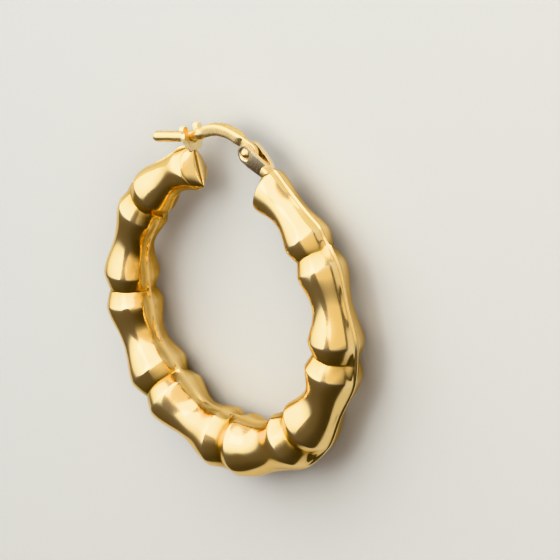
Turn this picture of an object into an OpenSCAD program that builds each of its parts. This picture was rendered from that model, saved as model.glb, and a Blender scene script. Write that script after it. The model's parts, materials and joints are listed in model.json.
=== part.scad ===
/* [Hoop] */
// Radius of the hoop, from its centre to the middle of the tube
hoop_radius = 12; // [11:0.5:14]
// Angle that one whole bamboo segment takes up
segment_angle = 41.87; // [41:0.01:42.5]
// Angle from the bottom of the hoop to the last ridge at each end
end_angle = 158.3; // [156:0.1:160]
/* [Bamboo tube] */
// Radius of the tube at the ridges next to the bottom groove
tube_radius = 2.7; // [2.4:0.05:2.9]
// How much smaller the ridges are three segments up each side
tube_taper = 0.6; // [0.3:0.05:0.7]
// Angle from a groove to the ridge beside it
ridge_angle = 6.3; // [5:0.1:8]
// Groove radius as a share of the ridge radius
groove_share = 0.78; // [0.7:0.01:0.9]
// Waist radius as a share of the ridge radius
waist_share = 0.75; // [0.65:0.01:0.9]
// Seam radius at the ridges and grooves as a share of the ridge radius
seam_share = 0.94; // [0.88:0.01:0.97]
// Width of the pinched ends across the hoop, as a share of the ridge radius
end_width_share = 0.85; // [0.75:0.01:0.95]
/* [Ear wire] */
// Diameter of the round post
post_d = 0.9; // [0.8:0.05:1]
// Length of the straight post, from the kink to its tip
post_length = 4.45; // [4.2:0.05:5]
// Slope of the post
post_slope = 13; // [11:1:15]
// Length of the wire between the kink and the arch
rise_length = 2.27; // [2.1:0.01:2.4]
// Radius of the arch, to the middle of the wire
arch_radius = 4.68; // [4.6:0.01:4.8]
// Angle from the top of the arch down to each of its ends
arch_half_angle = 26; // [25:1:27]
// Width of the flattened arch, across the hoop
arch_w = 0.9; // [0.8:0.02:0.94]
// Height of the flattened arch, in the plane of the hoop
arch_h = 1.0; // [0.9:0.05:1.1]
/* [Hinge] */
// Radius of the rivet
pin_radius = 0.25; // [0.2:0.01:0.3]
// Running clearance of the ear wire round the rivet
pin_clearance = 0.03; // [0.02:0.01:0.05]
// Radius of the rounded ears
ear_radius = 0.8; // [0.78:0.01:0.82]
// Thickness of the fork's strip
ear_t = 0.38; // [0.34:0.01:0.42]
// Gap between the two ears
ear_gap = 0.6; // [0.55:0.01:0.65]
// Length of the fork, from the rivet to the back of its bend
fork_length = 2.65; // [2.6:0.05:2.8]
/* [Catch] */
// Thickness of the catch plate
catch_t = 0.5; // [0.4:0.05:0.6]
// Width of the slot that the post lies in
slot_w = 1.0; // [0.98:0.01:1.04]
// Height of the prongs above the foot of the plate
catch_h = 2.14; // [2.1:0.01:2.2]

/* [Hidden] */
gold = "#e3b65c";
sides = 32;
$fn = 48;

// The angle "b" runs along the hoop from its lowest point, and "phi" round the tube from its
// outer side. Places in the plane of the hoop are [x, y] from the centre of the hoop.
taper_angle = 3 * segment_angle;
taper_power = 1.6;
function ridge_r(b) = tube_radius - tube_taper * pow(abs(b) / taper_angle, taper_power);
function on_hoop(b, r) = r * [sin(b), -cos(b)];
function turned(v, a) = [v.x * cos(a) - v.y * sin(a), v.x * sin(a) + v.y * cos(a)];

// Shape along one segment: a bevel from the groove up to the ridge, then a curve down to the
// waist and up to the next ridge. f and t go from 0 to 1 along the bevel and between the ridges.
bevel_steps = [0.5, 0.85];
waist_steps = [0.1, 0.22, 0.36, 0.5, 0.64, 0.78, 0.9];
bevel_power = 0.8;
hollow_power = 1.6;
function bevel(f) = groove_share + (1 - groove_share) * pow(f, bevel_power);
function hollow(t) = pow(sin(180 * t), hollow_power);
function waist(t) = 1 - (1 - waist_share) * hollow(t);
function waist_seam(t) = seam_share - (seam_share - waist_share) * hollow(t);

// A station is one ring of the tube: its angle, its size and the size of its seam as shares of
// the ridge radius, its width across the hoop as a share of its size, and how far it is pinched
// to a point at the seam.
ANGLE = 0;
SIZE = 1;
SEAM = 2;
WIDTH = 3;
PINCH = 4;
end_pinch = 0.3;
function ring(angle, size, seam) = [angle, size, seam, 1, 0];
function bevel_up(start) =
    [for (f = bevel_steps) ring(start + f * ridge_angle, bevel(f), seam_share)];
function bevel_down(end) =
    [for (i = [len(bevel_steps) - 1:-1:0])
        ring(end - bevel_steps[i] * ridge_angle, bevel(bevel_steps[i]), seam_share)];
function between_ridges(start, end) = concat(
    [ring(start, 1, seam_share)],
    [for (t = waist_steps) ring(start + t * (end - start), waist(t), waist_seam(t))],
    [ring(end, 1, seam_share)]
);
function whole_segment(start) = concat(
    bevel_up(start),
    between_ridges(start + ridge_angle, start + segment_angle - ridge_angle),
    bevel_down(start + segment_angle),
    [ring(start + segment_angle, groove_share, seam_share)]
);

// The last segment goes from round at its waist to narrow and pinched at its open end.
squeeze_from = 0.4;
squeeze_power = 1.5;
function squeeze(t) = pow(max(0, (t - squeeze_from) / (1 - squeeze_from)), squeeze_power);
function squeezed(angle, size, seam, t) =
    [angle, size, seam, 1 - (1 - end_width_share) * squeeze(t), end_pinch * squeeze(t)];
last_start = taper_angle + ridge_angle;
last_span = end_angle - last_start;
last_segment = concat(
    bevel_up(taper_angle),
    [ring(last_start, 1, seam_share)],
    [for (t = waist_steps) squeezed(last_start + t * last_span, waist(t), max(waist(t), waist_seam(t)), t)],
    [squeezed(end_angle, 1, 1, 1)]
);

// The end cap closes like lips on the seam: each row is a ring past the last ridge, with its
// distance from the ridge, its height in the plane of the hoop and its width across the hoop.
cap_rows = [
    [0.13, 0.99, 0.90],
    [0.28, 0.99, 0.76],
    [0.42, 0.98, 0.52],
    [0.50, 0.97, 0.27],
    [0.51, 0.96, 0.09],
];
cap_valley = 0.43;
function along(d) = d / hoop_radius * 180 / PI;
cap = [for (c = cap_rows) [end_angle + along(c[0]), c[1], c[1], end_width_share * c[2] / c[1], end_pinch]];

right_half = concat(
    [for (k = [0:2]) each whole_segment(k * segment_angle)],
    last_segment,
    cap
);
function mirrored(s) = [-s[ANGLE], s[SIZE], s[SEAM], s[WIDTH], s[PINCH]];
stations = concat(
    [for (i = [len(right_half) - 1:-1:0]) mirrored(right_half[i])],
    [ring(0, groove_share, seam_share)],
    right_half
);

// Share of the seam in the shape: all of it on the seam, some of it in the next column.
beside_seam = 0.3;
function seam_weight(i) =
    let (off = min(i % (sides / 2), sides / 2 - i % (sides / 2)))
    off == 0 ? 1 : off == 1 ? beside_seam : 0;
function hoop_point(s, i) =
    let (
        phi = 360 * i / sides,
        w = seam_weight(i),
        r = ridge_r(s[ANGLE]) * (s[SIZE] * (1 - w) + s[SEAM] * w),
        lift = sign(sin(phi)) * pow(abs(sin(phi)), 1 + s[PINCH])
    )
    [each on_hoop(s[ANGLE], hoop_radius + r * cos(phi)), r * s[WIDTH] * lift];
function cap_tip(side) = [each on_hoop(side * (end_angle + along(cap_valley)), hoop_radius), 0];
hoop_points = concat(
    [cap_tip(-1)],
    [for (s = stations) each [for (i = [0:sides - 1]) hoop_point(s, i)]],
    [cap_tip(1)]
);

// Where the hoop lies: flat on its largest ridges, with its outline centred on the origin.
arch_centre = [-0.5, 10.6];
hoop_z = ridge_r(ridge_angle);
hoop_low = min([for (p = hoop_points) p.y]);
hoop_high = arch_centre.y + arch_radius + arch_h / 2;
hoop_y = -(hoop_low + hoop_high) / 2;

// The ear wire in the plane of the hoop
arch_start = arch_centre + turned([0, arch_radius], arch_half_angle);
rise_dir = [cos(arch_half_angle), sin(arch_half_angle)];
kink = arch_start - rise_length * rise_dir;
post_dir = [cos(post_slope), sin(post_slope)];
post_tip = kink - post_length * post_dir;
thick_r = 0.52;
thick_from_kink = 1.0;
thick_start = kink + thick_from_kink * rise_dir;

// The post is even at its free end and thickens a hair towards the kink.
post_even = 2.35;
post_thick_r = post_d / 2 + 0.01;

// The kink is a short straight length between two soft bends.
bend_back = 0.3;
bend_start = kink - bend_back * post_dir;
bend_end = kink + bend_back * rise_dir;
bend_slope = (post_slope + arch_half_angle) / 2;
bend_ball_r = post_d / 2 + 0.025;

pin_place = [2.35, 14.1];
chamfer = 0.14;
tongue_t = ear_gap - 0.12;
tongue_inset = 0.03;
tongue_overlap = 0.1;
eye_r = 0.8;
through = 3;

// The fork's ears run straight past the rivet, then close in on the bend.
fork_slope = -29.5;
ears_behind = 1.2;
ears_straight = 0.9;
ear_shift = 0.05;
bend_r = 0.42;
bend_width = 0.62;
corner_r = 0.15;
slot_end_r = 0.12;
sink_r = 0.6;
sink_depth = 0.1;
bore_clearance = 0.01;
solder_place = [4.2, 12.78];
solder_size = [0.75, 0.65, 0.7];
eye_place = pin_place + turned([0.1, 0.12], fork_slope);

// The catch stands square to the post, and the kink lies in the middle of its slot.
catch_past_kink = 0.13;
slot_floor = 0.6;
catch_place = kink + catch_past_kink * post_dir;
catch_foot = catch_place - turned([0, slot_floor + slot_w / 2], post_slope);
prong_r = 0.3;
prong_place = 0.79;

module placed() {
    translate([0, hoop_y, hoop_z]) children();
}

// The bamboo tube with both end caps, as one closed skin
module tube() {
    rings = len(stations);
    last = len(hoop_points) - 1;
    function at(j, i) = 1 + j * sides + i % sides;
    skin = [for (j = [0:rings - 2], i = [0:sides - 1])
        each [[at(j, i), at(j, i + 1), at(j + 1, i + 1)], [at(j, i), at(j + 1, i + 1), at(j + 1, i)]]];
    first_cap = [for (i = [0:sides - 1]) [0, at(0, i + 1), at(0, i)]];
    last_cap = [for (i = [0:sides - 1]) [last, at(rings - 1, i), at(rings - 1, i + 1)]];
    polyhedron(points = hoop_points, faces = concat(skin, first_cap, last_cap));
}

// One half of the catch plate's outline, as [across, up] from the middle of its foot
catch_side = [[0.62, 0], [0.78, 0.18], [0.86, 0.58], [0.92, 0.84], [1.07, 1.1], [1.07, 1.3],
    [0.97, 1.5], [1.0, 1.62], [1.07, catch_h - prong_r]];
module catch_outline() {
    difference() {
        union() {
            polygon(concat(catch_side, [for (i = [len(catch_side) - 1:-1:0]) [-catch_side[i].x, catch_side[i].y]]));
            for (side = [-1, 1])
                translate([side * prong_place, catch_h - prong_r]) circle(r = prong_r);
        }
        translate([0, slot_floor + slot_w / 2]) circle(d = slot_w);
        translate([-slot_w / 2, slot_floor + slot_w / 2]) square([slot_w, catch_h]);
    }
}
module catch() {
    translate([catch_foot.x, catch_foot.y, 0])
        rotate([0, 0, post_slope])
            rotate([0, -90, 0])
                linear_extrude(catch_t, center = true)
                    catch_outline();
}

// The hinge fork: a strip bent into a U, seen from the side and from the front
module fork_side() {
    w = ear_gap / 2 + ear_t;
    difference() {
        hull() {
            translate([-ears_behind, -w]) square([ears_behind + ears_straight, 2 * w]);
            translate([fork_length - bend_r, 0]) circle(r = bend_r);
        }
        hull() {
            translate([-ears_behind, -ear_gap / 2]) square([ears_behind + ears_straight, ear_gap]);
            translate([fork_length - ear_t - slot_end_r, 0]) circle(r = slot_end_r);
        }
    }
}
module fork_front() {
    hull() {
        translate([ear_shift, 0]) circle(r = ear_radius);
        for (side = [-1, 1])
            translate([fork_length - corner_r, side * (bend_width - corner_r)]) circle(r = corner_r);
    }
}
module fork() {
    translate([pin_place.x, pin_place.y, 0])
        rotate([0, 0, fork_slope])
            difference() {
                intersection() {
                    linear_extrude(through, center = true) fork_front();
                    rotate([90, 0, 0]) linear_extrude(through, center = true) fork_side();
                }
                cylinder(r = pin_radius + bore_clearance, h = through, center = true);
                for (side = [0, 1])
                    mirror([0, 0, side])
                        translate([0, 0, ear_gap / 2 + ear_t - sink_depth])
                            cylinder(r1 = sink_r - sink_depth, r2 = sink_r, h = sink_depth);
            }
    translate([solder_place.x, solder_place.y, 0])
        rotate([0, 0, fork_slope])
            cube(solder_size, center = true);
}

module bamboo_hoop() {
    color(gold) placed() {
        tube();
        catch();
        fork();
    }
}

// The rivet, with a low dome on each side of the fork
module hinge_pin() {
    head_r = 0.42;
    head_h = 0.26;
    dome_r = (head_r * head_r + head_h * head_h) / (2 * head_h);
    shank = ear_gap + 2 * (ear_t - sink_depth + bore_clearance);
    color(gold) placed()
        translate([pin_place.x, pin_place.y, 0]) {
            cylinder(r = pin_radius, h = shank, center = true);
            for (side = [0, 1])
                mirror([0, 0, side])
                    translate([0, 0, shank / 2])
                        intersection() {
                            translate([0, 0, head_h - dome_r]) sphere(r = dome_r);
                            cylinder(r = head_r, h = head_h);
                        }
        }
}

// Pieces of round wire: a straight length, and a ball for an end or a bend
module rod(from, slope, r, h) {
    translate([from.x, from.y, 0])
        rotate([0, 90, slope])
            cylinder(r = r, h = h);
}

// The straight of the post: even first, then thicker towards the kink
module post_rod(from, slope, r, h) {
    translate([from.x, from.y, 0])
        rotate([0, 90, slope])
            rotate_extrude()
                polygon([[0, 0], [r, 0], [r, post_even - r], [post_thick_r, h], [0, h]]);
}
module ball(at, slope, r) {
    translate([at.x, at.y, 0])
        rotate([0, 90, slope])
            sphere(r = r);
}

module arch_section() {
    w = arch_w / 2;
    h = arch_h / 2;
    translate([arch_radius, 0])
        polygon([[-h, w - chamfer], [-h + chamfer, w], [h - chamfer, w], [h, w - chamfer],
            [h, chamfer - w], [h - chamfer, -w], [-h + chamfer, -w], [-h, chamfer - w]]);
}

// The flat end of the wire: a round eye on the rivet, joined to the end of the arch
module tongue() {
    arch_end = turned([0, arch_radius], -arch_half_angle);
    out = turned([0, arch_h / 2 - tongue_inset], -arch_half_angle);
    outer = arch_centre + arch_end + out;
    inner = arch_centre + arch_end - out;
    back = turned([-tongue_overlap, 0], -arch_half_angle);
    across = turned([0, eye_r], -arch_half_angle);
    difference() {
        linear_extrude(tongue_t, center = true) {
            translate(eye_place) circle(r = eye_r);
            polygon([inner + back, outer + back, outer, eye_place + across, eye_place - across, inner]);
        }
        translate([pin_place.x, pin_place.y, 0])
            cylinder(r = pin_radius + pin_clearance, h = through, center = true);
    }
}

module ear_wire() {
    r = post_d / 2;
    color(gold) placed() {
        ball(post_tip + r * post_dir, post_slope, r);
        post_rod(post_tip + r * post_dir, post_slope, r, post_length - bend_back - r);
        ball(bend_start, (post_slope + bend_slope) / 2, bend_ball_r);
        rod(bend_start, bend_slope, r, norm(bend_end - bend_start));
        ball(bend_end, (bend_slope + arch_half_angle) / 2, bend_ball_r);
        rod(bend_end, arch_half_angle, r, rise_length - bend_back);
        ball(thick_start, arch_half_angle, thick_r);
        rod(thick_start, arch_half_angle, thick_r, rise_length - thick_from_kink);
        translate([arch_centre.x, arch_centre.y, 0])
            rotate([0, 0, 90 - arch_half_angle])
                rotate_extrude(angle = 2 * arch_half_angle)
                    arch_section();
        tongue();
    }
}

bamboo_hoop();
hinge_pin();
ear_wire();
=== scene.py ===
import json
import math

import bmesh
import bpy
from mathutils import Matrix, Vector


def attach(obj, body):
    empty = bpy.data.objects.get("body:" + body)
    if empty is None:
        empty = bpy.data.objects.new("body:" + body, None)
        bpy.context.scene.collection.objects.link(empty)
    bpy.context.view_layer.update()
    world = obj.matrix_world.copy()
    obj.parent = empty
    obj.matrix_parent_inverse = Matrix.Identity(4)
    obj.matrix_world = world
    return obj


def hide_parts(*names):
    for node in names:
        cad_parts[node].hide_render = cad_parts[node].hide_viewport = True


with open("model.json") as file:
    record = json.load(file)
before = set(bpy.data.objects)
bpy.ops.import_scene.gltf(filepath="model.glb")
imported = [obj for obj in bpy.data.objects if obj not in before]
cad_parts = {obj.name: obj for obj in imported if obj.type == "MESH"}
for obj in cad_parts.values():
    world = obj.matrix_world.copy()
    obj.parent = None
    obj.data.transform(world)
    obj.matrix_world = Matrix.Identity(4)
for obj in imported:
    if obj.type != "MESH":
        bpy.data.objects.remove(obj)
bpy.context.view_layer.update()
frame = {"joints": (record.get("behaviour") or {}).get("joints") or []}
mm = 0.001
joinDistance, sliverLength = 2e-7, 1e-8  # in metres, for cleaning a mesh

# Places are measured in mm from the middle of the hoop, x and y in its plane and z across it
rivetPlace = (2.35, 14.1)
hoopMiddle = Vector(frame["joints"][0]["pos_m"]) - Vector((*rivetPlace, 0)) * mm


def fromMiddle(x, y, z=0.0):
    return hoopMiddle + Vector((x, y, z)) * mm


def turned(x, y, slope):
    c, s = math.cos(math.radians(slope)), math.sin(math.radians(slope))
    return x * c - y * s, x * s + y * c


def moved(place, slope, x, y=0.0):  # place, moved by x and y along axes turned by slope
    dx, dy = turned(x, y, slope)
    return place[0] + dx, place[1] + dy


def onSlope(place, slope, x, y, z=0.0):  # the same, as a point of the scene
    return fromMiddle(*moved(place, slope, x, y), z)


# Node helpers


class Field:
    # A number in a node tree. Arithmetic on it adds Math nodes.
    def __init__(self, tree, socket):
        self.tree, self.socket = tree, socket

    def math(self, operation, *others):
        node = self.tree.nodes.new("ShaderNodeMath")
        node.operation = operation
        for place, value in zip(node.inputs, (self, *others)):
            feed(self.tree, value, place)
        return Field(self.tree, node.outputs[0])

    def __add__(self, other):
        return self.math("ADD", other)

    def __sub__(self, other):
        return self.math("SUBTRACT", other)

    def __rsub__(self, other):
        return self.math("MULTIPLY", -1) + other

    def __mul__(self, other):
        return self.math("MULTIPLY", other)

    def __truediv__(self, other):
        return self.math("DIVIDE", other)

    def __pow__(self, other):
        return self.math("POWER", other)

    __radd__, __rmul__ = __add__, __mul__

    def unit(self):  # held between 0 and 1
        return self.math("MAXIMUM", 0).math("MINIMUM", 1)

    def bell(self, width):  # 1 at zero, falling off over width
        scaled = self / width
        return (scaled * scaled * -1).math("EXPONENT")

    def rise(self, start):  # 0 up to start, then even up to 1 at 1
        return ((self - start) / (1 - start)).unit()


def feed(tree, value, place):
    if isinstance(value, Field):
        tree.links.new(value.socket, place)
    elif isinstance(value, bpy.types.NodeSocket):
        tree.links.new(value, place)
    else:
        place.default_value = value


def blended(a, b, share):
    return share * (b - a) + a


def addNode(tree, kind, inputs=None, **settings):
    node = tree.nodes.new(kind)
    for name, value in settings.items():
        setattr(node, name, value)
    for name, value in (inputs or {}).items():
        feed(tree, value, node.inputs[name])
    return node


def curveThrough(tree, value, points):
    node = addNode(tree, "ShaderNodeFloatCurve", {"Value": value})
    curve = node.mapping.curves[0]
    curve.points[0].location, curve.points[-1].location = points[0], points[-1]
    for point in points[1:-1]:
        curve.points.new(*point)
    node.mapping.update()
    return Field(tree, node.outputs[0])


def noiseField(tree, place, seed, scale, detail, roughness):  # place is None for the point itself
    inputs = {"W": seed, "Scale": scale, "Detail": detail, "Roughness": roughness}
    if place is not None:
        inputs["Vector"] = place
    return Field(tree, addNode(tree, "ShaderNodeTexNoise", inputs, noise_dimensions="4D").outputs[0])


def mixedColour(tree, share, first, second):
    # sockets 6 and 7 and output 2 are the Mix node's colours
    return addNode(tree, "ShaderNodeMix", {0: share, 6: first, 7: second}, data_type="RGBA").outputs[2]


def nextShape(tree, kind, shape, inputs=None, **settings):  # one more step of a geometry tree
    return addNode(tree, kind, {"Geometry": shape, **(inputs or {})}, **settings).outputs[0]


# Mesh helpers

bevelFrom = 32  # degrees between two faces, from which their edge is rounded


def addObject(name, data):
    obj = bpy.data.objects.new(name, data)
    bpy.context.scene.collection.objects.link(obj)
    return obj


def cleanMesh(mesh, sharp=None):  # sharp: degrees from which an edge stays a crease
    bm = bmesh.new()
    bm.from_mesh(mesh)
    bmesh.ops.remove_doubles(bm, verts=bm.verts, dist=joinDistance)
    bmesh.ops.dissolve_degenerate(bm, edges=bm.edges, dist=sliverLength)
    bmesh.ops.recalc_face_normals(bm, faces=bm.faces)
    if sharp is not None:
        for face in bm.faces:
            face.smooth = True
        for edge in bm.edges:
            edge.smooth = len(edge.link_faces) == 2 and edge.calc_face_angle(0) < math.radians(sharp)
    bm.to_mesh(mesh)
    bm.free()


def finishPiece(name, mesh, body, cadNode, material, sharp=40):
    cleanMesh(mesh, sharp)
    mesh.name = name
    mesh.materials.clear()
    mesh.materials.append(material)
    piece = addObject(name, mesh)
    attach(piece, body)
    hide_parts(cadNode)
    print(f"made {name}: {sum(len(p.vertices) - 2 for p in mesh.polygons)} triangles")


def evaluatedMesh(obj):  # the mesh with its modifiers on, and the object taken away
    bpy.context.view_layer.update()
    graph = bpy.context.evaluated_depsgraph_get()
    mesh = bpy.data.meshes.new_from_object(obj.evaluated_get(graph))
    obj.modifiers.clear()
    bpy.data.objects.remove(obj)
    return mesh


def meshObject(name, points, faces):
    mesh = bpy.data.meshes.new(name)
    mesh.from_pydata([tuple(p) for p in points], [], faces)
    cleanMesh(mesh)
    return addObject(name, mesh)


def addBevel(obj, width, segments):
    bevel = obj.modifiers.new("Rounded edges", "BEVEL")
    bevel.width, bevel.segments = width * mm, segments
    bevel.limit_method, bevel.angle_limit = "ANGLE", math.radians(bevelFrom)


def ringFaces(rings, around):  # joins closed rings of points, one after the other
    return [
        (k * around + i, k * around + (i + 1) % around, (k + 1) * around + (i + 1) % around, (k + 1) * around + i)
        for k in range(rings - 1) for i in range(around)
    ]


def lathe(profile, place, steps):  # profile of (radius, z), turned round the z axis at place
    n = len(profile)
    points, faces = [], []
    for i in range(steps):
        j = (i + 1) % steps
        points += [onSlope(place, 360 * i / steps, radius, 0, z) for radius, z in profile]
        faces += [(i * n + k, j * n + k, j * n + k + 1, i * n + k + 1) for k in range(n - 1)]
    return points, faces


def mirrored(upper):  # a lathe profile, from the upper half of it
    return [(radius, -z) for radius, z in reversed(upper)] + upper


def drilled(name, mesh, upper, steps):  # the mesh, with a turned hole cut out of it on the rivet's line
    obj = addObject(name, mesh)
    cutter = meshObject("cutter", *lathe(mirrored(upper), rivetPlace, steps))
    cut = obj.modifiers.new("Cut", "BOOLEAN")
    cut.operation, cut.solver, cut.object = "DIFFERENCE", "EXACT", cutter
    mesh = evaluatedMesh(obj)
    bpy.data.objects.remove(cutter)
    return mesh


def prism(outline, placeAt):  # a closed outline, pushed out between two levels by placeAt(x, y, level)
    n = len(outline)
    points = [placeAt(x, y, level) for level in (-1, 1) for x, y in outline]
    faces = [tuple(range(n)), tuple(range(2 * n - 1, n - 1, -1))]
    faces += [(i, (i + 1) % n, n + (i + 1) % n, n + i) for i in range(n)]
    return points, faces


def arc(cx, cy, radius, start, end, steps):
    angles = [math.radians(start + (end - start) * i / steps) for i in range(steps + 1)]
    return [(cx + radius * math.cos(a), cy + radius * math.sin(a)) for a in angles]


def markPoints(mesh, name, valueAt):  # a number on each point, read by the material
    marks = mesh.attributes.new(name, "FLOAT", "POINT")
    for vertex, mark in zip(mesh.vertices, marks.data):
        mark.value = valueAt(vertex)


# Shader groups

scratches = {
    # turn, axis, scale along and across the lines, and seed of each layer
    "layers": [
        (0.3, (0.3, -0.2, 0.9), 260, 9000, 3),
        (1.25, (0.3, 0.05, 0.9), 200, 7500, 8),
        (2.3, (0.3, 0.3, 0.9), 320, 11000, 15),
    ],
    "from": 0.6, "fade": 0.12,  # level of the noise from which a line shows
}
tone = {
    "cloudScale": 420.0, "cloudFrom": 0.35, "cloudFade": 0.3,
    # how much of the painted groove shade and the painted inner reflection the clouds take away
    "grooveDrift": 0.25, "innerDrift": 0.3,
    # painted shade: dark spots on the inner side, between its folds
    "spotScale": 850.0, "spotFrom": 0.48, "spotFade": 0.12, "spotShare": 0.7, "spotColour": (0.36, 0.17, 0.03, 1),
}
ripple = {"waveScale": 900.0, "pitScale": 2600.0, "pitSize": 0.16}


def newGroup(name, inputs, outputs):
    tree = bpy.data.node_groups.new(name, "ShaderNodeTree")
    for label, value in inputs.items():
        kind = "NodeSocketColor" if isinstance(value, tuple) else "NodeSocketFloat"
        tree.interface.new_socket(label, in_out="INPUT", socket_type=kind).default_value = value
    for label, kind in outputs.items():
        tree.interface.new_socket(label, in_out="OUTPUT", socket_type=kind)
    given = tree.nodes.new("NodeGroupInput")
    place = addNode(tree, "ShaderNodeTexCoord").outputs["Object"]
    return tree, given.outputs, place, tree.nodes.new("NodeGroupOutput").inputs


def makeScratchGroup():
    # Fine polishing lines in three directions
    tree, given, place, result = newGroup(
        "polishing scratches", {"Amount": 0.5, "Turn": 0.0}, {"Height": "NodeSocketFloat", "Mask": "NodeSocketFloat"})
    mask = None
    for turn, axis, along, across, seed in scratches["layers"]:
        angle = Field(tree, given["Turn"]) + turn
        spin = addNode(tree, "ShaderNodeVectorRotate", {"Vector": place, "Axis": axis, "Angle": angle})
        stretch = addNode(tree, "ShaderNodeMapping", {"Vector": spin.outputs[0], "Scale": (along, across, across)})
        noise = noiseField(tree, stretch.outputs[0], seed, scale=1.0, detail=2.0, roughness=0.6)
        lines = ((noise - scratches["from"]) / scratches["fade"]).unit()
        mask = lines if mask is None else mask.math("MAXIMUM", lines)
    mask = mask * Field(tree, given["Amount"])
    feed(tree, mask, result["Mask"])
    feed(tree, mask * -1, result["Height"])
    return tree


def makeToneGroup():
    # Colour of the gold: slow drift of tone, painted shade (warm and dull) in the grooves, a painted orange reflection
    # on the inner side with painted dark spots, and a pale painted highlight on the marked ridges, crests and caps
    tree, given, place, result = newGroup(
        "gold tone",
        {"Gold": (0.9, 0.66, 0.3, 1), "Pale Gold": (0.95, 0.75, 0.42, 1), "Groove Shade Gold": (0.62, 0.33, 0.1, 1),
         "Inner Reflection Gold": (0.9, 0.5, 0.1, 1), "Groove": 0.0, "Inner": 0.0, "Highlight": 0.0, "Drift": 0.5},
        {"Color": "NodeSocketColor", "Cloud": "NodeSocketFloat"},
    )
    groove, inner = Field(tree, given["Groove"]), Field(tree, given["Inner"])
    cloud = noiseField(tree, place, seed=4.0, scale=tone["cloudScale"], detail=4.0, roughness=0.55)
    cloud = ((cloud - tone["cloudFrom"]) / tone["cloudFade"]).unit()
    spots = noiseField(tree, place, seed=9.0, scale=tone["spotScale"], detail=2.0, roughness=0.5)
    spots = ((spots - tone["spotFrom"]) / tone["spotFade"]).unit() * inner.unit() * tone["spotShare"]
    colour = given["Gold"]
    for share, layer in (
        (cloud * Field(tree, given["Drift"]), given["Pale Gold"]),
        (Field(tree, given["Highlight"]).unit(), given["Pale Gold"]),
        ((groove * (cloud * tone["grooveDrift"] + (1 - tone["grooveDrift"]))).unit(), given["Groove Shade Gold"]),
        ((inner * (cloud * tone["innerDrift"] + (1 - tone["innerDrift"]))).unit(), given["Inner Reflection Gold"]),
        (spots, tone["spotColour"]),
    ):
        colour = mixedColour(tree, share, colour, layer)
    feed(tree, colour, result["Color"])
    feed(tree, cloud, result["Cloud"])
    return tree


def makeRippleGroup():
    # Orange peel of polished metal: soft low waves and small pits
    tree, given, place, result = newGroup("polish ripple", {"Wave": 1.0, "Pits": 0.3}, {"Height": "NodeSocketFloat"})
    wave = noiseField(tree, place, seed=1.5, scale=ripple["waveScale"], detail=3.0, roughness=0.5)
    cells = addNode(tree, "ShaderNodeTexVoronoi", {"Vector": place, "Scale": ripple["pitScale"], "Randomness": 1.0})
    pit = (1 - Field(tree, cells.outputs["Distance"]) / ripple["pitSize"]).unit() * Field(tree, given["Pits"])
    feed(tree, (wave - 0.5) * Field(tree, given["Wave"]) - pit, result["Height"])
    return tree


scratchGroup, toneGroup, rippleGroup = makeScratchGroup(), makeToneGroup(), makeRippleGroup()


def useGroup(tree, group, inputs):
    node = tree.nodes.new("ShaderNodeGroup")
    node.node_tree = group
    for name, value in inputs.items():
        feed(tree, value, node.inputs[name])
    return node.outputs


goldFinishes = {
    # tones of each finish (groove: the colour of painted shade, inner: the colour of a painted orange reflection), its
    # roughness, its scratches and ripple, and the depth of its bump in mm
    "stampedGold": dict(
        gold=(0.96, 0.69, 0.3), pale=(0.98, 0.76, 0.4), groove=(0.5, 0.32, 0.09), inner=(0.88, 0.46, 0.07),
        drift=0.35, rough=0.1, roughSpread=0.08, scratch=0.5, wave=0.5, pits=0.12, turn=0.0, depth=0.0028,
    ),
    "wireGold": dict(
        gold=(0.95, 0.7, 0.32), pale=(0.98, 0.79, 0.45),
        drift=0.4, rough=0.19, roughSpread=0.1, scratch=0.8, wave=0.8, pits=0.2, turn=0.7, depth=0.003,
    ),
    # the fork's gold is paler than the tube's, a painted highlight on its rims; its groove colour is the painted shade
    # of its ear faces
    "forkGold": dict(
        gold=(0.95, 0.75, 0.45), pale=(0.99, 0.84, 0.56), groove=(0.46, 0.36, 0.23),
        drift=0.5, rough=0.1, roughSpread=0.1, scratch=1.0, wave=0.8, pits=0.3, turn=1.1, depth=0.003,
    ),
    # the catch's gold is paler than the tube's, painted light on its plate; its inner colour is the painted reflection
    # of the wire
    "catchGold": dict(
        gold=(1.0, 0.83, 0.5), pale=(1.0, 0.88, 0.58), inner=(0.92, 0.52, 0.1),
        drift=0.6, rough=0.46, roughSpread=0.1, scratch=0.9, wave=0.9, pits=0.35, turn=1.6, depth=0.003,
    ),
    "rivetGold": dict(
        gold=(0.94, 0.67, 0.3), pale=(0.97, 0.78, 0.44),
        drift=0.5, rough=0.1, roughSpread=0.12, scratch=0.6, wave=1.2, pits=0.3, turn=2.4, depth=0.003,
    ),
}
edgeTint = (0.95, 0.82, 0.58, 1)  # of a reflection at a grazing angle
scratchRough, grooveRough, scratchHeight = 0.12, 0.08, 0.35
toneLabels = {"gold": "Gold", "pale": "Pale Gold", "groove": "Groove Shade Gold", "inner": "Inner Reflection Gold"}


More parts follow.
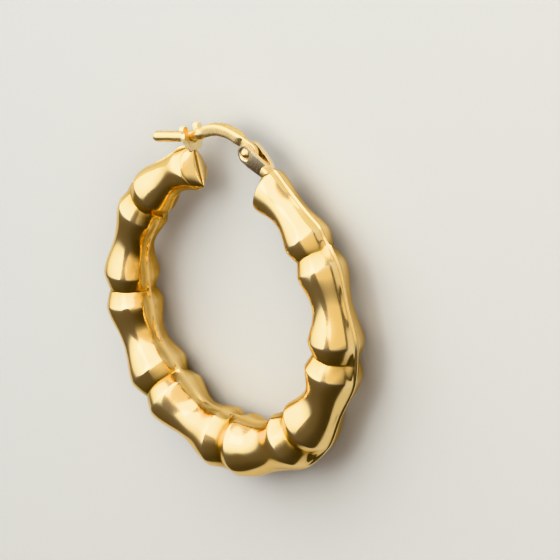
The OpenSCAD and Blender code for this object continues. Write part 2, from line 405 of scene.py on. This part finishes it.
def makeGold(name, look):
    material = bpy.data.materials.new(name)
    material.use_nodes = True
    tree = material.node_tree
    tree.nodes.clear()
    marks = {
        label: addNode(tree, "ShaderNodeAttribute", attribute_name=label.lower()).outputs["Fac"]
        for label in ("Groove", "Inner", "Highlight")
    }
    tones = {toneLabels[key]: (*look[key], 1) for key in toneLabels if key in look}
    toned = useGroup(tree, toneGroup, {**tones, **marks, "Drift": look["drift"]})
    scratched = useGroup(tree, scratchGroup, {"Amount": look["scratch"], "Turn": look["turn"]})
    rippled = useGroup(tree, rippleGroup, {"Wave": look["wave"], "Pits": look["pits"]})
    rough = Field(tree, toned["Cloud"]) * look["roughSpread"] + look["rough"]
    rough = rough + Field(tree, scratched["Mask"]) * scratchRough + Field(tree, marks["Groove"]) * grooveRough
    height = Field(tree, scratched["Height"]) * scratchHeight + Field(tree, rippled["Height"])
    bump = addNode(tree, "ShaderNodeBump", {"Height": height, "Strength": 1.0, "Distance": look["depth"] * mm})
    shader = addNode(tree, "ShaderNodeBsdfPrincipled", {
        "Base Color": toned["Color"], "Roughness": rough.unit(), "Normal": bump.outputs[0], "Metallic": 1.0,
        "Specular Tint": edgeTint,
    })
    output = tree.nodes.new("ShaderNodeOutputMaterial")
    tree.links.new(shader.outputs[0], output.inputs[0])
    return material


finish = {name: makeGold(name, look) for name, look in goldFinishes.items()}
print("materials ready")


# The bamboo tube: one grid, bent and profiled by a Geometry Nodes tree

bamboo = {
    "Hoop Radius": 12.0 * mm,
    "Tube Radius": 2.7 * mm,  # at the ridges, at the bottom of the hoop
    "Taper": 0.6 * mm,
    "Taper Power": 1.6,
    "Segment Angle": math.radians(41.87),
    "Ridge Angle": math.radians(6.3),  # from a groove to its ridge
    "End Angle": math.radians(158.3),  # from the bottom to the rim of a cap
    "Bevel Share": 0.2,  # rings of a segment that each of its two bevels takes
    "Groove Share": 0.78,  # radius against the ridge's, here and in the next six
    "Waist Share": 0.75,
    "Waist Seam Share": 0.81,
    "Seam Share": 1.02,
    "End Seam Drop": 0.08,
    "Inner Seam Share": 0.85,
    "Cap Shrink": 0.04,
    "Waist Power": 1.6,
    "Seam Width": math.radians(11.0),
    "Inner Seam Width": math.radians(17.0),
    "Crest Height": 0.085 * mm,
    "Inner Crest Height": 0.11 * mm,
    "Crest Width": math.radians(2.8),
    "Inner Crest Spread": 2.5,
    "Crease Width": math.radians(8.0),
    "Line Place": math.radians(5.0),
    "Line Width": math.radians(1.4),
    "Line Depth": 0.03 * mm,
    "Squeeze Start": 0.4,
    "Squeeze Power": 1.5,
    "End Width": 0.85,
    "End Pinch": 0.3,
    "Hinge Pinch": -0.05,
    "Hinge Bulge": 0.36 * mm,
    "Bulge Start": 0.15,
    "Cap Depth": 0.78 * mm,
    "Cap Lean": 0.8 * mm,
    "Slit Depth": 0.36 * mm,
    "Slit Start": 0.84,
    "Slit Inner Loss": 0.7,
    "Dents": 0.02 * mm,
    "Dent Scale": 330.0,
    "Seed": 7.0,
}
tubeMarks = {
    # where the marks for the material lie, and how wide and strong they are
    # the ridge and cap strengths below are of the painted highlight on the ridges and on the caps
    "ridgeWidth": 0.035, "rimWidth": 0.03, "ridgeHighlight": 0.8, "capHighlight": 2,
    "slitPlace": 0.97, "slitWidth": 0.08, "foldPlace": 0.25, "foldWidth": 0.06, "foldShare": 0.8, "lineShare": 0.4,
    "innerFrom": 0.68, "innerFade": 0.22, "crestKeeps": 0.45, "creaseHides": 0.85,
    # the painted orange reflection and the painted crease shade of the inner side fade towards the bottom of the hoop,
    # so it is paler there
    "bottomReach": 2.2, "bottomCrease": 0.6, "bottomInner": 0.1,
}
segments = 4  # on each side of the bottom
stationsEach = 60  # rings in one bamboo segment
capStations = 30
columns = 144
columnCrowding = 0.3  # towards the outer and inner seam

# From a cap's rim to its middle, how far it stands out and how wide it still is
capForward = [(0, 0), (0.08, 0.07), (0.17, 0.14), (0.25, 0.08), (0.31, 0.19), (0.4, 0.38), (0.5, 0.6), (0.62, 0.82),
              (0.78, 0.98), (0.9, 0.95), (1, 0.75)]
capNarrowing = [(0, 1), (0.08, 0.98), (0.17, 0.94), (0.25, 0.88), (0.31, 0.83), (0.4, 0.72), (0.5, 0.58), (0.62, 0.41),
                (0.78, 0.21), (0.9, 0.08), (1, 0)]
bevelRise = [(0, 0), (0.12, 0.17), (0.5, 0.57), (0.85, 0.885), (1, 1)]  # from groove to ridge


def makeBambooTree():
    tree = bpy.data.node_groups.new("bamboo tube", "GeometryNodeTree")
    tree.interface.new_socket("Geometry", in_out="OUTPUT", socket_type="NodeSocketGeometry")
    for name in bamboo:
        tree.interface.new_socket(name, in_out="INPUT", socket_type="NodeSocketFloat")
    tree.interface.new_socket("Middle", in_out="INPUT", socket_type="NodeSocketVector")
    tree.interface.new_socket("Material", in_out="INPUT", socket_type="NodeSocketMaterial")
    given = tree.nodes.new("NodeGroupInput").outputs
    value = {name: Field(tree, given[name]) for name in bamboo}

    reach = segments + capStations / stationsEach
    rings = 2 * (segments * stationsEach + capStations) + 1
    grid = addNode(tree, "GeometryNodeMeshGrid", {
        "Size X": 2.0, "Size Y": 1.0, "Vertices X": rings, "Vertices Y": columns + 1,
    })
    place = addNode(tree, "ShaderNodeSeparateXYZ", {0: tree.nodes.new("GeometryNodeInputPosition").outputs[0]})
    along = Field(tree, place.outputs["X"]) * reach
    around = Field(tree, place.outputs["Y"]) * (2 * math.pi)

    # Where a ring is: its segment, and how far it is up the bevels (0 to 1) and between the ridges
    side = (along * 1e6).math("MAXIMUM", -1).math("MINIMUM", 1)  # -1 on the catch's side, 1 on the hinge's
    hinged = (side + 1) * 0.5
    walk = along.math("ABSOLUTE")
    nudge = 1e-4  # puts a ring that is on a groove into the segment after it
    segment = (walk + nudge).math("FLOOR").math("MINIMUM", segments - 1)
    step = (walk - segment).math("MINIMUM", 1)
    last = walk.math("GREATER_THAN", segments - 1 + nudge)
    bevelShare = value["Bevel Share"]
    farBevel = 1 - bevelShare
    up = (step / bevelShare).unit()
    down = ((step - farBevel) / bevelShare).unit() * (1 - last)
    between = ((step - bevelShare) / (1 - bevelShare * (2 - last))).unit()
    bevel = up - down
    cap = ((walk - segments) / (reach - segments)).unit()
    squeeze = between.rise(value["Squeeze Start"]) ** value["Squeeze Power"] * last

    # The angle of a ring round the hoop
    ridgeAngle, segmentAngle = value["Ridge Angle"], value["Segment Angle"]
    wholeSpan = segmentAngle - ridgeAngle * 2
    lastSpan = value["End Angle"] - segmentAngle * (segments - 1) - ridgeAngle
    inward = (1 - around.math("COSINE")) * 0.5  # 0 at the outer seam, 1 at the inner one
    forward = curveThrough(tree, cap, capForward) * value["Cap Depth"]
    slit = cap.rise(value["Slit Start"]) * (1 - inward * value["Slit Inner Loss"]) * value["Slit Depth"]
    angle = (segment * segmentAngle + (up + down) * ridgeAngle + between * blended(wholeSpan, lastSpan, last)
             + (forward - slit) / value["Hoop Radius"])

    # Radius of the ring at its top and at its seam, as shares of the ridge radius
    hollow = (between * math.pi).math("SINE").math("MAXIMUM", 0) ** value["Waist Power"]
    top = blended(value["Groove Share"], 1, curveThrough(tree, bevel, bevelRise))
    top = top * (1 - (1 - value["Waist Share"]) * hollow)
    inner = ((inward - 0.45) / 0.1).unit()  # 0 on the outer half of a ring, 1 on the inner half
    node = blended(value["Seam Share"] - last * value["End Seam Drop"], value["Inner Seam Share"], inner * (1 - last))
    seam = blended(node, blended(value["Waist Seam Share"], value["Waist Share"], inner), hollow)
    seam = blended(seam, top.math("MAXIMUM", seam), last)
    seam = blended(seam, 1, cap.math("GREATER_THAN", 0))
    shrink = 1 - cap * value["Cap Shrink"]
    ridge = value["Tube Radius"] - value["Taper"] * (angle / (segmentAngle * (segments - 1))) ** value["Taper Power"]

    # Radius at each point of the ring
    phi = around - (around * 2).math("SINE") * columnCrowding
    sine, cosine = phi.math("SINE"), phi.math("COSINE")
    offSeam = sine.math("ARCSINE").math("ABSOLUTE")
    seamWidth = blended(value["Seam Width"], value["Inner Seam Width"], inner * (1 - last))
    seamBell = offSeam.bell(seamWidth)
    crest = offSeam.bell(value["Crest Width"] * blended(1, value["Inner Crest Spread"], inner))
    crestHeight = blended(value["Crest Height"], value["Inner Crest Height"], inner)
    line = (offSeam - value["Line Place"]).bell(value["Line Width"]) * (1 - inner)
    radius = ridge * blended(top, seam, seamBell) * shrink
    radius = radius + (crestHeight * crest - value["Line Depth"] * line) * (1 - cap)
    radius = radius + value["Hinge Bulge"] * hinged * (1 - inward) * between.rise(value["Bulge Start"]) ** 2 * last

    # The ring's place, pinched towards the ends, and drawn back outside at the catch's end
    width = (1 - squeeze * (1 - value["End Width"])) * curveThrough(tree, cap, capNarrowing)
    pinch = squeeze * blended(value["End Pinch"], value["Hinge Pinch"], hinged)
    lift = sine.math("SIGN") * sine.math("ABSOLUTE") ** (1 + pinch)
    out = value["Hoop Radius"] + radius * cosine
    outward = ((cosine + 0.3) / 0.6).unit()  # the other way round, and softer
    lean = value["Cap Lean"] * (1 - hinged) * outward * between ** 4 * last * (1 - cap * 4).unit()
    turn = (angle - lean / value["Hoop Radius"]) * side
    spot = addNode(tree, "ShaderNodeCombineXYZ", {
        "X": out * turn.math("SINE"), "Y": out * turn.math("COSINE") * -1, "Z": radius * width * lift,
    })
    shifted = addNode(tree, "ShaderNodeVectorMath", {0: spot.outputs[0], 1: given["Middle"]}, operation="ADD")

    # Marks for the material, kept on the points: where painted shade, painted reflection and painted highlight go
    look = tubeMarks
    bottom = (look["bottomReach"] - walk).unit()
    nearRidge = (step - bevelShare).bell(look["ridgeWidth"]) + (step - farBevel).bell(look["ridgeWidth"]) * (1 - last)
    ridgeHighlightMark = (nearRidge + (walk - segments).bell(look["rimWidth"])).unit()
    # painted shade: the groove mark darkens the bevels by the grooves, the crease along the inner seam, a dark line at
    # each cap's slits, a dark line across each cap where a fold would be, and a dark line beside the outer crest
    crease = (offSeam - seamWidth).bell(value["Crease Width"]) * inner * blended(1, look["bottomCrease"], bottom)
    slitShade = (cap - look["slitPlace"]).bell(look["slitWidth"])
    foldShade = (cap - look["foldPlace"]).bell(look["foldWidth"]) * look["foldShare"]
    marks = {
        "groove": (1 - bevel) ** 2 * (1 - seamBell) + slitShade + foldShade + line * look["lineShare"] + crease,
        # painted reflection: the warm orange of the gold thrown back on itself, painted on the inner side
        "inner": ((inward - look["innerFrom"]) / look["innerFade"]).unit() * (1 - cap)
        * blended(1, look["crestKeeps"], crest) * (1 - crease * look["creaseHides"])
        * blended(1, look["bottomInner"], bottom),
        # painted highlight: paler gold along the ridges, the crests and the caps
        "highlight": ridgeHighlightMark * look["ridgeHighlight"] + crest + cap * look["capHighlight"],
    }
    shape = grid.outputs["Mesh"]
    for name, field in marks.items():
        shape = nextShape(tree, "GeometryNodeStoreNamedAttribute", shape, {"Name": name, "Value": field.unit()},
                          data_type="FLOAT", domain="POINT")
    shape = nextShape(tree, "GeometryNodeSetPosition", shape, {"Position": shifted.outputs[0]})
    shape = nextShape(tree, "GeometryNodeMergeByDistance", shape, {"Distance": joinDistance})

    # Shallow dents, as in any thin stamped tube
    dent = noiseField(tree, None, value["Seed"], value["Dent Scale"], detail=1.5, roughness=0.4)
    dent = (dent - 0.5) * value["Dents"]
    normal = tree.nodes.new("GeometryNodeInputNormal").outputs[0]
    push = addNode(tree, "ShaderNodeVectorMath", {0: normal, "Scale": dent}, operation="SCALE")
    shape = nextShape(tree, "GeometryNodeSetPosition", shape, {"Offset": push.outputs[0]})
    shape = nextShape(tree, "GeometryNodeRealizeInstances", shape)
    shape = nextShape(tree, "GeometryNodeSetMaterial", shape, {"Material": given["Material"]})
    feed(tree, shape, tree.nodes.new("NodeGroupOutput").inputs["Geometry"])
    return tree


def makeBambooTube():
    tree = makeBambooTree()
    holder = addObject("bamboo tube", bpy.data.meshes.new("bamboo tube"))
    modifier = holder.modifiers.new("Bamboo", "NODES")
    modifier.node_group = tree
    settings = {**bamboo, "Middle": tuple(hoopMiddle), "Material": finish["stampedGold"]}
    for item in tree.interface.items_tree:
        if item.in_out == "INPUT":
            modifier[item.identifier] = settings[item.name]
    finishPiece("bambooTube", evaluatedMesh(holder), "hoop", "bamboo_hoop", finish["stampedGold"], sharp=60)


# The ear wire's main line, which the catch stands on: post, kink, rise and arch

wire = {
    "radius": 0.45, "slope": 13, "postLength": 4.45, "bend": 0.5, "riseLength": 2.27,
    "swell": 0.06, "swellRate": 1.2, "flatFrom": 0.62, "flatPower": 1.2,
    "archRadius": 4.68, "archHalf": 26, "archMiddle": (-0.5, 10.6), "archWidth": 0.9, "archHeight": 1.0,
    "boxiness": 4.6, "endHalfWidth": 0.235,
}
archStart = moved(wire["archMiddle"], wire["archHalf"], 0, wire["archRadius"])
kink = moved(archStart, wire["archHalf"], -wire["riseLength"])


# The catch: a small upright plate with two prongs

catch = {
    "thickness": 0.5, "height": 2.14, "slotWidth": 1.0, "slotFloor": 0.6, "prongRadius": 0.3, "prongPlace": 0.79,
    # one side of the plate, from its foot up to the prong
    "side": [(0.62, 0), (0.78, 0.18), (0.86, 0.58), (0.92, 0.84), (1.07, 1.1), (1.07, 1.3), (0.97, 1.5), (1.0, 1.62)],
    "pastKink": 0.13, "edge": 0.07, "reflectionInset": 0.12, "reflectionRise": 0.4,
}


def makeCatch():
    top = catch["height"] - catch["prongRadius"]
    half = catch["slotWidth"] / 2
    centre = catch["slotFloor"] + half
    meet = math.degrees(math.acos((half - catch["prongPlace"]) / catch["prongRadius"]))
    right = catch["side"] + arc(catch["prongPlace"], top, catch["prongRadius"], 0, meet, 14)
    outline = right + arc(0, centre, half, 0, -180, 24) + [(-x, y) for x, y in reversed(right)]
    foot = moved(kink, wire["slope"], catch["pastKink"], -centre)

    def placeAt(x, y, level):
        return onSlope(foot, wire["slope"], level * catch["thickness"] / 2, y, x)

    def paintedWireReflection(vertex):  # painted reflection: the front of the near prong is painted with the warm orange of the wire beside the slot
        spot = (vertex.co - fromMiddle(*foot)) / mm
        along, rise = turned(spot.x, spot.y, -wire["slope"])
        onFront = along > catch["thickness"] / 2 - 0.01
        onProng = spot.z > half - catch["reflectionInset"] and rise > catch["slotFloor"] + catch["reflectionRise"]
        return 1.0 if onFront and onProng else 0.0

    obj = meshObject("catch", *prism(outline, placeAt))
    addBevel(obj, catch["edge"], 4)
    mesh = evaluatedMesh(obj)
    # the painted reflection goes in as the inner mark
    markPoints(mesh, "inner", paintedWireReflection)
    finishPiece("catchPlate", mesh, "hoop", "bamboo_hoop", finish["catchGold"])


# The hinge fork, its solder lug and the rivet

fork = {
    "slope": -29.5, "earRadius": 0.8, "earShift": 0.05, "earEnd": 0.12, "thickness": 0.38, "gap": 0.6, "length": 2.65,
    "rings": (0.35, 0.62), "straight": 0.9, "bendRadius": 0.42, "bendWidth": 0.62, "cornerRadius": 0.15,
    "slotEnd": 0.12, "edge": 0.1,
    "sinkRadius": 0.6, "sinkDepth": 0.1, "sinkEdge": 0.03, "sinkWall": 0.1,
    "lugPlace": (4.66, 13.0, 0.42), "lugSize": (0.92, 0.85, 0.9), "lugRoundness": 0.5,
}
rivet = {
    "radius": 0.25, "headRadius": 0.42, "headHeight": 0.26, "rimInset": 0.02, "rimHeight": 0.03, "clearance": 0.01,
}


def makeFork():
    straight, bend, length = fork["straight"], fork["bendRadius"], fork["length"]
    earRadius, earShift, corner = fork["earRadius"], fork["earShift"], fork["cornerRadius"]
    outer, inner = fork["gap"] / 2 + fork["thickness"], fork["gap"] / 2

    def halfWidth(x):  # of the strip, seen from the front
        x = min(max(x, earShift - earRadius), length)
        if x < earShift + fork["earEnd"]:
            return math.sqrt(max(0, earRadius ** 2 - (x - earShift) ** 2))
        share = min((x - earShift) / (length - corner - earShift), 1)
        intoCorner = max(0, (x - (length - corner)) / corner)
        wide = earRadius + (fork["bendWidth"] - earRadius) * share
        return wide - corner * (1 - math.sqrt(max(0, 1 - intoCorner * intoCorner)))

    def sidePath(z, radius, middle):  # from one ear's tip round the bend to the other's
        steps = [earShift - earRadius * math.cos(math.radians(a)) for a in range(0, 91, 6)]
        path = [(x, z) for x in (*steps, *fork["rings"], straight)]
        lean = math.degrees(math.atan2(z - radius, middle - straight))
        path += arc(middle, 0, radius, 90 - lean, 0, 12)
        return path + [(x, -z) for x, z in reversed(path[:-1])]

    def earFaceShade(vertex):  # painted shade: 1 on the flat outer faces of the ears, 0 on their rims and inside
        z = (vertex.co.z - hoopMiddle.z) / mm
        facing = math.copysign(1, z) * vertex.normal.z
        return min(max((facing - 0.85) / 0.1, 0), 1) if abs(z) > inner + 0.1 else 0.0

    outside = sidePath(outer, bend, length - bend)
    inside = sidePath(inner, fork["slotEnd"], length - fork["thickness"] - fork["slotEnd"])
    points = []
    for (xo, zo), (xi, zi) in zip(outside, inside):
        for x, z, s in ((xo, zo, 1), (xo, zo, -1), (xi, zi, -1), (xi, zi, 1)):
            points.append(onSlope(rivetPlace, fork["slope"], x, s * halfWidth(x), z))
    obj = meshObject("fork", points, ringFaces(len(outside), 4))
    addBevel(obj, fork["edge"], 4)
    reach, floor, sink = outer + 0.2, outer - fork["sinkDepth"], fork["sinkRadius"]
    hole = [(rivet["radius"] + rivet["clearance"], floor), (sink - fork["sinkWall"], floor),
            (sink - fork["sinkEdge"], outer - fork["sinkEdge"]), (sink, outer), (sink, reach), (0, reach)]
    mesh = drilled("fork", evaluatedMesh(obj), hole, 64)
    # the painted shade of the ear faces goes in as the groove mark
    markPoints(mesh, "groove", earFaceShade)
    finishPiece("hingeFork", mesh, "hoop", "bamboo_hoop", finish["forkGold"], sharp=34)


def makeLug():
    # A rounded block of solder between the fork's bend and the tube
    rows, turns = 20, 40
    long, high, wide = (size / 2 for size in fork["lugSize"])
    x0, y0, z0 = fork["lugPlace"]

    def soft(v):
        return math.copysign(abs(v) ** fork["lugRoundness"], v)

    points = []
    for i in range(rows + 1):
        a = math.pi * i / rows - math.pi / 2
        for j in range(turns):
            b = 2 * math.pi * j / turns
            x, y = soft(math.cos(a)) * soft(math.cos(b)) * long, soft(math.cos(a)) * soft(math.sin(b)) * high
            points.append(onSlope((x0, y0), fork["slope"], x, y, soft(math.sin(a)) * wide + z0))
    mesh = evaluatedMesh(meshObject("lug", points, ringFaces(rows + 1, turns)))
    finishPiece("solderLug", mesh, "hoop", "bamboo_hoop", finish["stampedGold"])


def makeRivet():
    shank = fork["gap"] / 2 + fork["thickness"] - fork["sinkDepth"] + rivet["clearance"]
    head, high = rivet["headRadius"], rivet["headHeight"]
    dome = (head * head + high * high) / (2 * high)
    reach = math.degrees(math.asin(head / dome))
    domed = [(x, shank + high - dome + z) for x, z in arc(0, 0, dome, 90 - reach, 90, 14)]
    rim = shank + rivet["rimHeight"]
    upper = [(rivet["radius"], shank), (head - rivet["rimInset"], shank), (head, rim)]
    upper += [(x, z) for x, z in domed[:-1] if z > rim + 0.01] + [(0, domed[-1][1])]
    obj = meshObject("rivet", *lathe(mirrored(upper), rivetPlace, 64))
    finishPiece("hingeRivet", evaluatedMesh(obj), "hoop", "hinge_pin", finish["rivetGold"], sharp=50)


# The ear wire in one sweep, then the flat tongue with its eye

tongue = {
    "thickness": 0.36, "forward": 0.05, "eyeRadius": 0.8, "eyeShift": (0.1, 0.12), "bore": 0.28, "edge": 0.07,
    "inset": 0.03, "overlap": 0.15,
}


def wireStations():
    # place, heading, half height in the hoop's plane, half width across it, and boxiness of each ring
    slope, half, radius, bend = wire["slope"], wire["archHalf"], wire["radius"], wire["bend"]
    tip = moved(kink, slope, -wire["postLength"])
    stations = []
    for a in range(0, 90, 10):  # the rounded tip
        thick = radius * math.sin(math.radians(a))
        stations.append((moved(tip, slope, radius * (1 - math.cos(math.radians(a)))), slope, thick, thick, 2))
    for k in range(25):  # the post
        d = radius + (wire["postLength"] - bend - radius) * k / 24
        stations.append((moved(tip, slope, d), slope, radius, radius, 2))
    for k in range(1, 13):  # the kink, as a soft bend
        t = k / 12
        place = moved(moved(kink, slope, -bend * (1 - t) ** 2), half, bend * t * t)
        stations.append((place, slope + (half - slope) * t, radius, radius, 2))
    for k in range(1, 17):  # the rise, which swells and then flattens
        t = k / 16
        thick = radius + wire["swell"] * math.sin(math.pi * min(1, t * wire["swellRate"])) ** 2
        flat = max(0, (t - wire["flatFrom"]) / (1 - wire["flatFrom"])) ** wire["flatPower"]
        high = thick + (wire["archHeight"] / 2 - radius) * flat
        wide = thick + (wire["archWidth"] / 2 - radius) * flat
        place = moved(kink, half, bend + (wire["riseLength"] - bend) * t)
        stations.append((place, half, high, wide, 2 + (wire["boxiness"] - 2) * flat))
    count, last = 44, 7
    for k in range(1, count + 1):  # the arch, narrower over its last rings
        turn = half - 2 * half * k / count
        narrow = max(0, (k - count + last) / last) ** 2
        wide = wire["archWidth"] / 2 * (1 - narrow) + wire["endHalfWidth"] * narrow
        place = moved(wire["archMiddle"], turn, 0, wire["archRadius"])
        stations.append((place, turn, wire["archHeight"] / 2, wide, wire["boxiness"]))
    return stations


def makeEarWire():
    stations, around = wireStations(), 48
    points = []
    for place, heading, high, wide, box in stations:
        for i in range(around):
            a = 2 * math.pi * i / around
            c, s = math.cos(a), math.sin(a)
            reach = (abs(c) ** box + abs(s) ** box) ** (-1 / box)
            points.append(onSlope(place, heading, 0, high * c * reach, wide * s * reach))
    faces = ringFaces(len(stations), around)
    faces.append(tuple(range(len(points) - around, len(points))))  # closes the end of the arch
    obj = meshObject("wire", points, faces)
    finishPiece("earWire", evaluatedMesh(obj), "wire", "ear_wire", finish["wireGold"], sharp=50)


def makeTongue():
    back, high = -wire["archHalf"], wire["archHeight"] / 2 - tongue["inset"]
    end = moved(wire["archMiddle"], back, 0, wire["archRadius"])
    innerEnd, outerEnd = moved(end, back, 0, -high), moved(end, back, 0, high)
    eye = moved(rivetPlace, fork["slope"], *tongue["eyeShift"])
    outline = [moved(innerEnd, back, -tongue["overlap"]), moved(outerEnd, back, -tongue["overlap"]), outerEnd]
    outline += arc(*eye, tongue["eyeRadius"], 90 + back, back - 90, 30) + [innerEnd]

    def placeAt(x, y, level):
        return fromMiddle(x, y, level * tongue["thickness"] / 2 + tongue["forward"])

    obj = meshObject("tongue", *prism(outline, placeAt))
    addBevel(obj, tongue["edge"], 3)
    mesh = drilled("tongue", evaluatedMesh(obj), [(tongue["bore"], 1), (0, 1)], 48)
    finishPiece("wireTongue", mesh, "wire", "ear_wire", finish["wireGold"], sharp=34)


makeBambooTube()
makeCatch()
makeFork()
makeLug()
makeRivet()
makeEarWire()
makeTongue()


# Floor, light and camera. The view is the photograph's: these three turn image directions into the part's.
imageRight = Vector((0.70804, -0.01483, -0.7060))
imageUp = Vector((-0.23754, 0.93648, -0.2579))
toCamera = Vector((0.66498, 0.35035, 0.6596))

view = {"distance": 600.0, "right": 3.917, "up": 2.166, "lens": 465.7, "sensor": 36, "clip": (0.01, 20)}
floor = {"reach": 3.0, "colour": (0.36, 0.334, 0.305, 1), "roughness": 0.75}
softboxes = {
    # azimuth and elevation from the hoop, distance and size in mm, and the shares of the width
    # over which it fades out at its end of higher and of lower azimuth
    "leftBox": dict(
        azimuth=166, elevation=44, distance=420, width=620, height=740,
        brightness=3.3, colour=(0.98, 1.12, 1.18), fadeHigh=0.5, fadeLow=0.02,
    ),
    "farBox": dict(
        azimuth=88, elevation=40, distance=420, width=390, height=620,
        brightness=3.3, colour=(0.98, 1.12, 1.18), fadeHigh=0.04, fadeLow=0.04,
    ),
    "rightBox": dict(
        azimuth=19, elevation=40, distance=420, width=740, height=560,
        brightness=0.78, colour=(1.0, 0.9, 0.66), fadeHigh=0.04, fadeLow=0.35,
    ),
    "floorFill": dict(  # lifts the shadow and leaves no reflection
        azimuth=350, elevation=40, distance=420, width=500, height=300,
        brightness=2.4, colour=(1.0, 0.97, 0.92), fadeHigh=0.04, fadeLow=0.04, reflects=False,
    ),
}
surround = {
    # the room: dim on the side away from the boxes
    "towards": (115, 25), "tint": (1.0, 0.9, 0.96, 1),
    "stops": [(0.0, 0.068), (0.15, 0.076), (0.26, 0.104), (0.38, 0.16), (0.55, 0.21), (0.63, 0.28), (0.7, 0.5),
              (1.0, 0.8)],
}


def makeCamera():
    data = bpy.data.cameras.new("camera")
    data.lens, data.sensor_width = view["lens"], view["sensor"]
    data.clip_start, data.clip_end = view["clip"]
    camera = addObject("camera", data)
    place = hoopMiddle + (toCamera * view["distance"] + imageRight * view["right"] + imageUp * view["up"]) * mm
    turn = Matrix((imageRight, imageUp, toCamera)).transposed().to_4x4()
    camera.matrix_world = Matrix.Translation(place) @ turn
    bpy.context.scene.camera = camera


def makeFloor():
    size = floor["reach"]
    obj = meshObject("floor", [(-size, -size, 0), (size, -size, 0), (size, size, 0), (-size, size, 0)], [(0, 1, 2, 3)])
    material = bpy.data.materials.new("paleFloor")
    material.use_nodes = True
    shader = material.node_tree.nodes["Principled BSDF"]
    shader.inputs["Base Color"].default_value = floor["colour"]
    shader.inputs["Roughness"].default_value = floor["roughness"]
    obj.data.materials.append(material)


def direction(azimuth, elevation):
    a, e = math.radians(azimuth), math.radians(elevation)
    return Vector((math.cos(e) * math.cos(a), math.cos(e) * math.sin(a), math.sin(e)))


def makeSoftbox(name, box):
    width, height = box["width"] * mm, box["height"] * mm
    data = bpy.data.lights.new(name, "AREA")
    data.shape, data.size, data.size_y = "RECTANGLE", width, height
    data.energy, data.color = box["brightness"] * math.pi * width * height, box["colour"]
    data.use_nodes = True
    tree = data.node_tree
    across = addNode(tree, "ShaderNodeSeparateXYZ", {0: tree.nodes.new("ShaderNodeNewGeometry").outputs["Parametric"]})
    place = Field(tree, across.outputs["X"])
    edge = ((1 - place) / box["fadeHigh"]).unit() * (place / box["fadeLow"]).unit()
    feed(tree, edge ** 2, tree.nodes["Emission"].inputs["Strength"])
    lamp = addObject(name, data)
    way = direction(box["azimuth"], box["elevation"])
    lamp.location = hoopMiddle + way * box["distance"] * mm
    lamp.rotation_euler = way.to_track_quat("Z", "Y").to_euler()
    lamp.visible_glossy = box.get("reflects", True)


def makeSurround():
    world = bpy.data.worlds.new("studio")
    bpy.context.scene.world = world
    world.use_nodes = True
    tree = world.node_tree
    place = addNode(tree, "ShaderNodeTexCoord").outputs["Generated"]
    dot = addNode(tree, "ShaderNodeVectorMath", {0: place, 1: direction(*surround["towards"])}, operation="DOT_PRODUCT")
    half = Field(tree, dot.outputs["Value"]) * 0.5 + 0.5
    back = tree.nodes["Background"].inputs
    back["Color"].default_value = surround["tint"]
    feed(tree, curveThrough(tree, half, surround["stops"]), back["Strength"])


makeFloor()
for name, box in softboxes.items():
    makeSoftbox(name, box)
makeSurround()
makeCamera()
bpy.context.scene.view_settings.view_transform = "Khronos PBR Neutral"
print("floor, light and camera ready")
